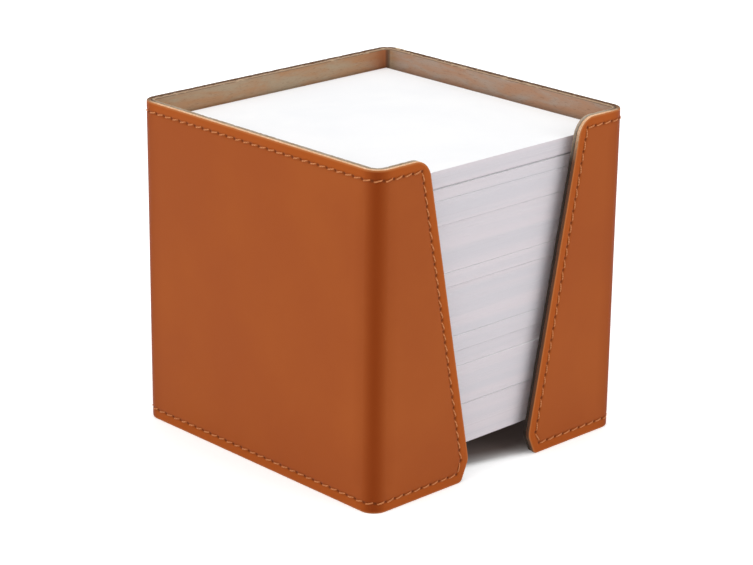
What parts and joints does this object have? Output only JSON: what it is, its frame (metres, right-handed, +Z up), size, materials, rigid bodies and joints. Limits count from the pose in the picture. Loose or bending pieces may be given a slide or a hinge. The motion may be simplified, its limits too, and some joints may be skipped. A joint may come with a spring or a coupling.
{
  "type": "memo pad holder",
  "caption": "Leather-covered box for a block of loose note sheets, with rounded corners, an open top, a tapering finger slot in front, a raised floor and sheets that lift out.",
  "frame": {"origin": "middle of the box's outline at its foot, on the table", "axes": "+Z up, -Y towards the front with the finger slot, X across, +X to the right of someone facing the slot from outside"},
  "size_m": [0.098, 0.098, 0.097],
  "materials": {
    "outer_leather": "smooth tan leather with a light running stitch",
    "lining": "grey-brown fibrous bonded leather",
    "floor_leather": "grey-brown bonded leather",
    "board": "matt grey board",
    "backing_paper": "matt dark paper",
    "note_paper": "uncoated white paper"
  },
  "bodies": {
    "holder": {"outer_leather": "outer_leather", "lining": "lining", "floor_skin": "floor_leather", "floor_board": "board", "floor_backing": "backing_paper"},
    "packet_1": {"packet_1": "note_paper"},
    "packet_2": {"packet_2": "note_paper"},
    "packet_3": {"packet_3": "note_paper"},
    "packet_4": {"packet_4": "note_paper"},
    "packet_5": {"packet_5": "note_paper"},
    "packet_6": {"packet_6": "note_paper"},
    "packet_7": {"packet_7": "note_paper"},
    "packet_8": {"packet_8": "note_paper"},
    "packet_9": {"packet_9": "note_paper"},
    "top_packet": {"top_packet": "note_paper"}
  },
  "joints": [
    {"name": "packet_1_lift", "type": "slide", "parent": "holder", "child": "packet_1", "axis": [0, 0, 1], "range_m": [0, 0.093]},
    {"name": "packet_2_lift", "type": "slide", "parent": "packet_1", "child": "packet_2", "axis": [0, 0, 1], "range_m": [0, 0.081]},
    {"name": "packet_3_lift", "type": "slide", "parent": "packet_2", "child": "packet_3", "axis": [0, 0, 1], "range_m": [0, 0.069]},
    {"name": "packet_4_lift", "type": "slide", "parent": "packet_3", "child": "packet_4", "axis": [0, 0, 1], "range_m": [0, 0.065]},
    {"name": "packet_5_lift", "type": "slide", "parent": "packet_4", "child": "packet_5", "axis": [0, 0, 1], "range_m": [0, 0.06]},
    {"name": "packet_6_lift", "type": "slide", "parent": "packet_5", "child": "packet_6", "axis": [0, 0, 1], "range_m": [0, 0.045]},
    {"name": "packet_7_lift", "type": "slide", "parent": "packet_6", "child": "packet_7", "axis": [0, 0, 1], "range_m": [0, 0.041]},
    {"name": "packet_8_lift", "type": "slide", "parent": "packet_7", "child": "packet_8", "axis": [0, 0, 1], "range_m": [0, 0.027]},
    {"name": "packet_9_lift", "type": "slide", "parent": "packet_8", "child": "packet_9", "axis": [0, 0, 1], "range_m": [0, 0.02]},
    {"name": "top_packet_lift", "type": "slide", "parent": "packet_9", "child": "top_packet", "axis": [0, 0, 1], "range_m": [0, 0.016]}
  ]
}
